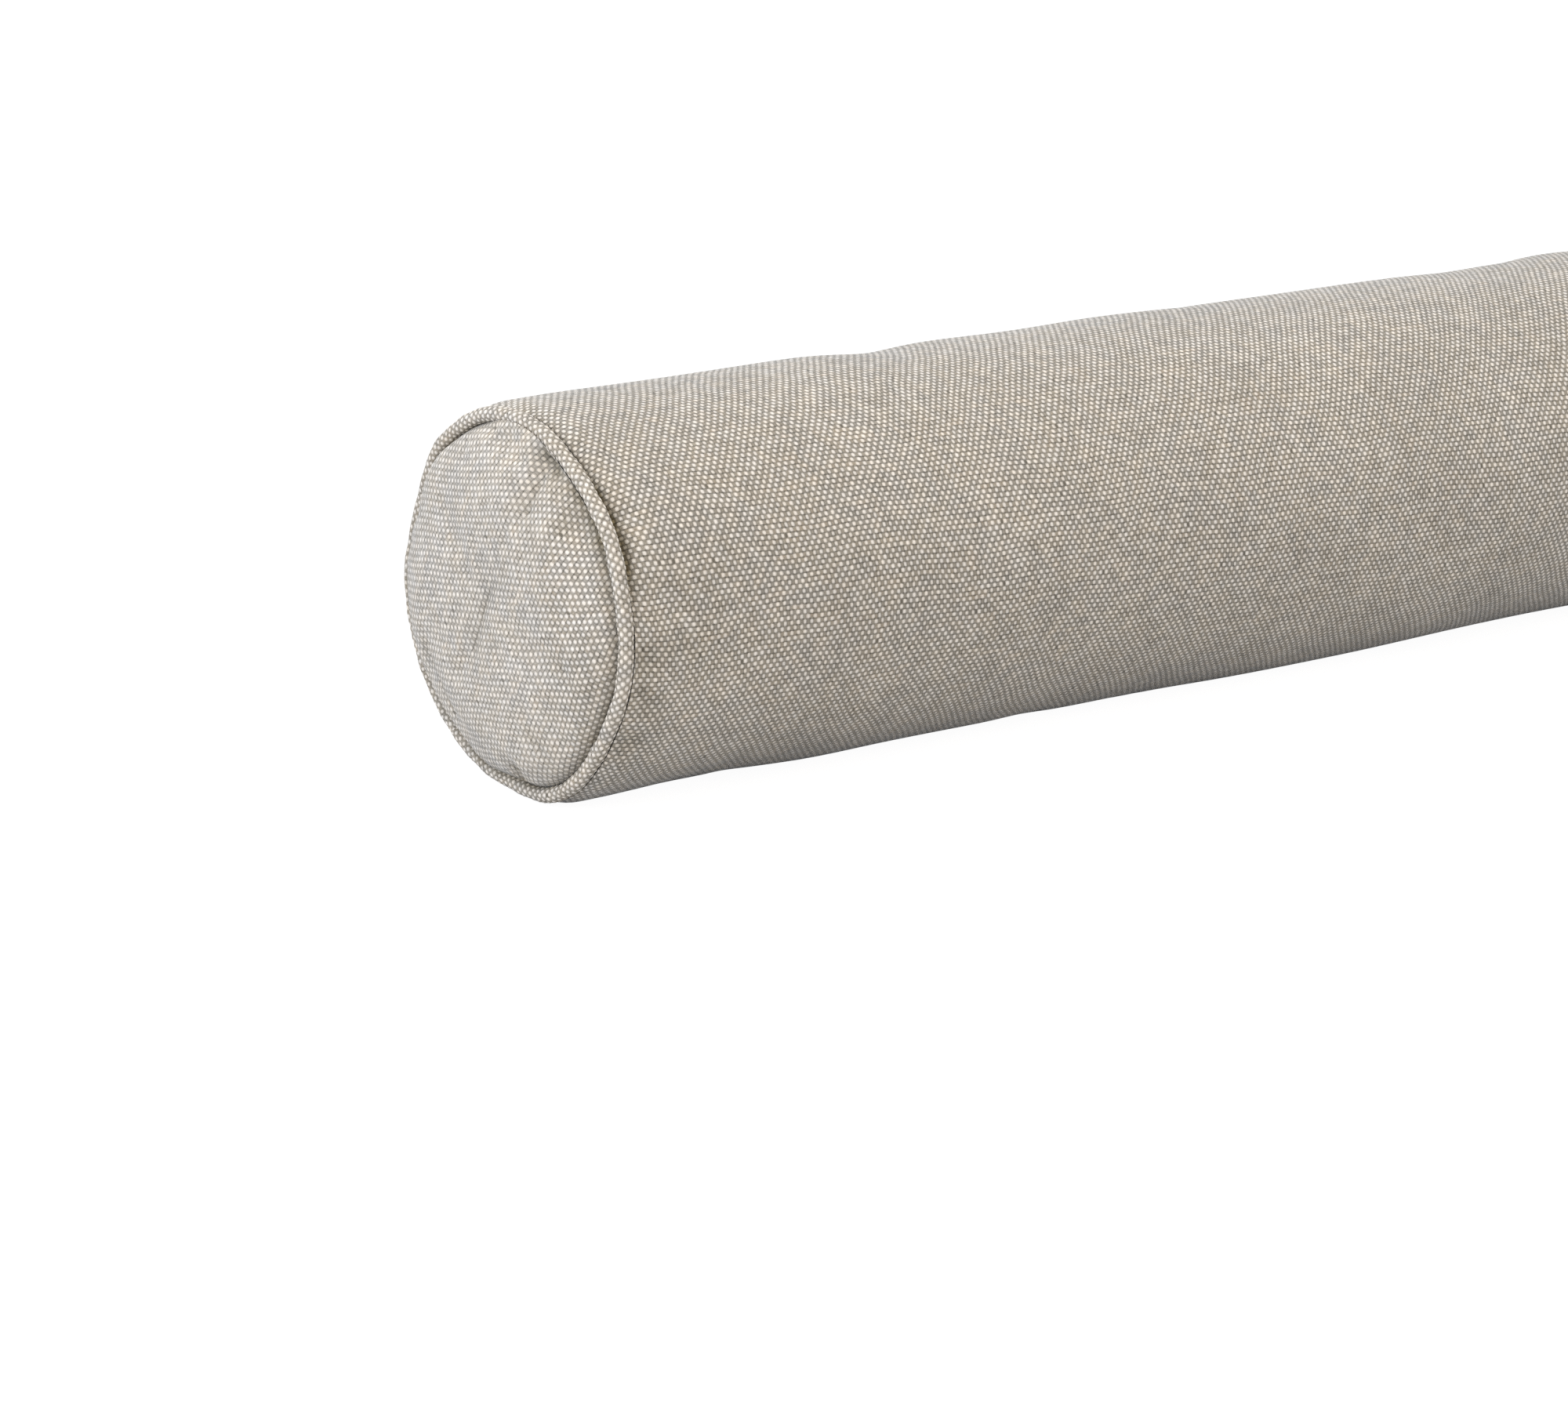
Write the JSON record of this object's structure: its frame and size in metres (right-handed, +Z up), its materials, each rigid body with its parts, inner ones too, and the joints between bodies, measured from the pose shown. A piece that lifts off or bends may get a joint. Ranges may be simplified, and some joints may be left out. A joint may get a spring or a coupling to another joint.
{
  "type": "bolster in a piped woven cover",
  "caption": "Filled round bolster in a plain-woven cover, with crowned round end panels and corded piping in the end seams.",
  "frame": {"origin": "on the surface that the bolster rests on, under the middle of its bounding box", "axes": "+X along the bolster from the near end, which the picture shows, to the far end; +Y to the back; +Z up"},
  "size_m": [0.9137, 0.1541, 0.15],
  "materials": {
    "cover_cloth": "matte",
    "piping_cloth": "matte"
  },
  "bodies": {
    "root": {"tube_panel": "cover_cloth", "near_end_panel": "cover_cloth", "near_piping": "piping_cloth", "far_end_panel": "cover_cloth", "far_piping": "piping_cloth"}
  },
  "joints": []
}
